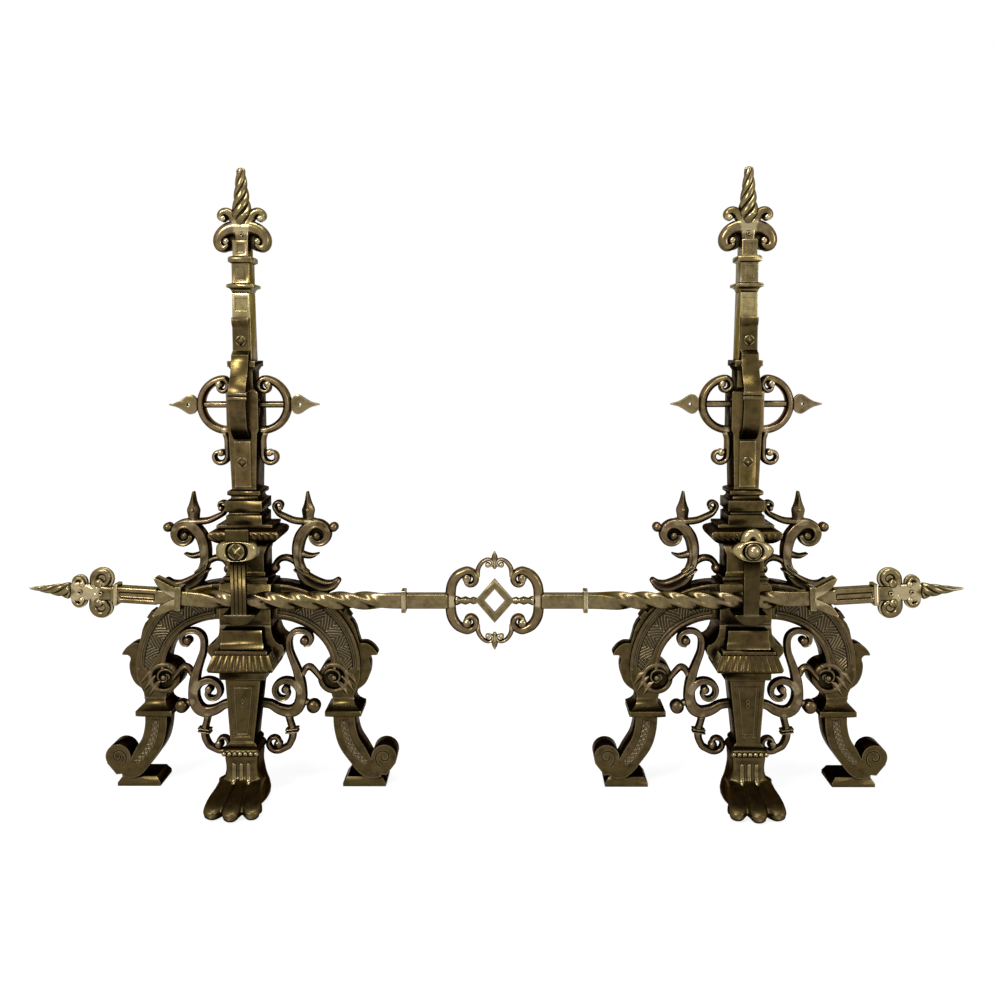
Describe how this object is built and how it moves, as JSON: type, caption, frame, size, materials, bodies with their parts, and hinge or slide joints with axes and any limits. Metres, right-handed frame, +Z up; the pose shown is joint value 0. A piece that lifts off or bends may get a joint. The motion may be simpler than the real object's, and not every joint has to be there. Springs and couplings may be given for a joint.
{
  "type": "andirons with crossbar",
  "caption": "Tall ornate brass andirons with lion-paw front legs, arched side legs, pierced scrolls and spit hooks, carrying a twisted crossbar with horn finials.",
  "frame": {"origin": "on the floor, in the middle of the overall box", "axes": "+X along the crossbar to the viewer's right, +Y from the front paws back into the fireplace, +Z up"},
  "size_m": [1.257, 0.2209, 0.85],
  "materials": {
    "antique_brass": "aged, polished on the edges",
    "dark_brass": "aged, dark",
    "copper_toned_brass": "aged, with a coppery cast",
    "wrought_iron": "forged"
  },
  "bodies": {
    "left_andiron": {"left_finial_horn": "antique_brass", "left_finial_crown": "copper_toned_brass", "left_neck_collars": "antique_brass", "left_upper_shaft": "antique_brass", "left_spit_hook": "antique_brass", "left_studs": "antique_brass", "left_lower_shaft": "antique_brass", "left_ring_scrolls": "copper_toned_brass", "left_ring_rod": "dark_brass", "left_shaft_base": "antique_brass", "left_gadroon_cap": "antique_brass", "left_outer_bracket": "copper_toned_brass", "left_inner_bracket": "copper_toned_brass", "left_centre_block": "dark_brass", "left_bar_hook": "antique_brass", "left_leg_capital": "antique_brass", "left_front_pilaster": "antique_brass", "left_ankle": "antique_brass", "left_paw": "antique_brass", "left_outer_arch": "antique_brass", "left_inner_arch": "antique_brass", "left_outer_leg": "antique_brass", "left_inner_leg": "antique_brass", "left_outer_scroll_panel": "copper_toned_brass", "left_inner_scroll_panel": "copper_toned_brass", "left_tie_rod": "wrought_iron"},
    "right_andiron": {"right_finial_horn": "antique_brass", "right_finial_crown": "copper_toned_brass", "right_neck_collars": "antique_brass", "right_upper_shaft": "antique_brass", "right_spit_hook": "antique_brass", "right_studs": "antique_brass", "right_lower_shaft": "antique_brass", "right_ring_scrolls": "copper_toned_brass", "right_ring_rod": "dark_brass", "right_shaft_base": "antique_brass", "right_gadroon_cap": "antique_brass", "right_outer_bracket": "copper_toned_brass", "right_inner_bracket": "copper_toned_brass", "right_centre_block": "dark_brass", "right_bar_hook": "antique_brass", "right_leg_capital": "antique_brass", "right_front_pilaster": "antique_brass", "right_ankle": "antique_brass", "right_paw": "antique_brass", "right_outer_arch": "antique_brass", "right_inner_arch": "antique_brass", "right_outer_leg": "antique_brass", "right_inner_leg": "antique_brass", "right_outer_scroll_panel": "copper_toned_brass", "right_inner_scroll_panel": "copper_toned_brass", "right_tie_rod": "wrought_iron"},
    "crossbar": {"crossbar_left_bar": "antique_brass", "crossbar_right_bar": "antique_brass", "crossbar_bands": "antique_brass", "crossbar_leaf_collars": "antique_brass", "crossbar_end_scrolls": "copper_toned_brass", "crossbar_end_horns": "antique_brass", "crossbar_centre_frame": "copper_toned_brass", "crossbar_lozenge": "antique_brass"}
  },
  "joints": [
    {"name": "crossbar_lift", "type": "slide", "parent": "left_andiron", "child": "crossbar", "axis": [0, 0, 1], "range_m": [0, 0.12]},
    {"name": "andiron_spacing", "type": "slide", "parent": "left_andiron", "child": "right_andiron", "axis": [1, 0, 0], "range_m": [-0.12, 0.04]}
  ]
}
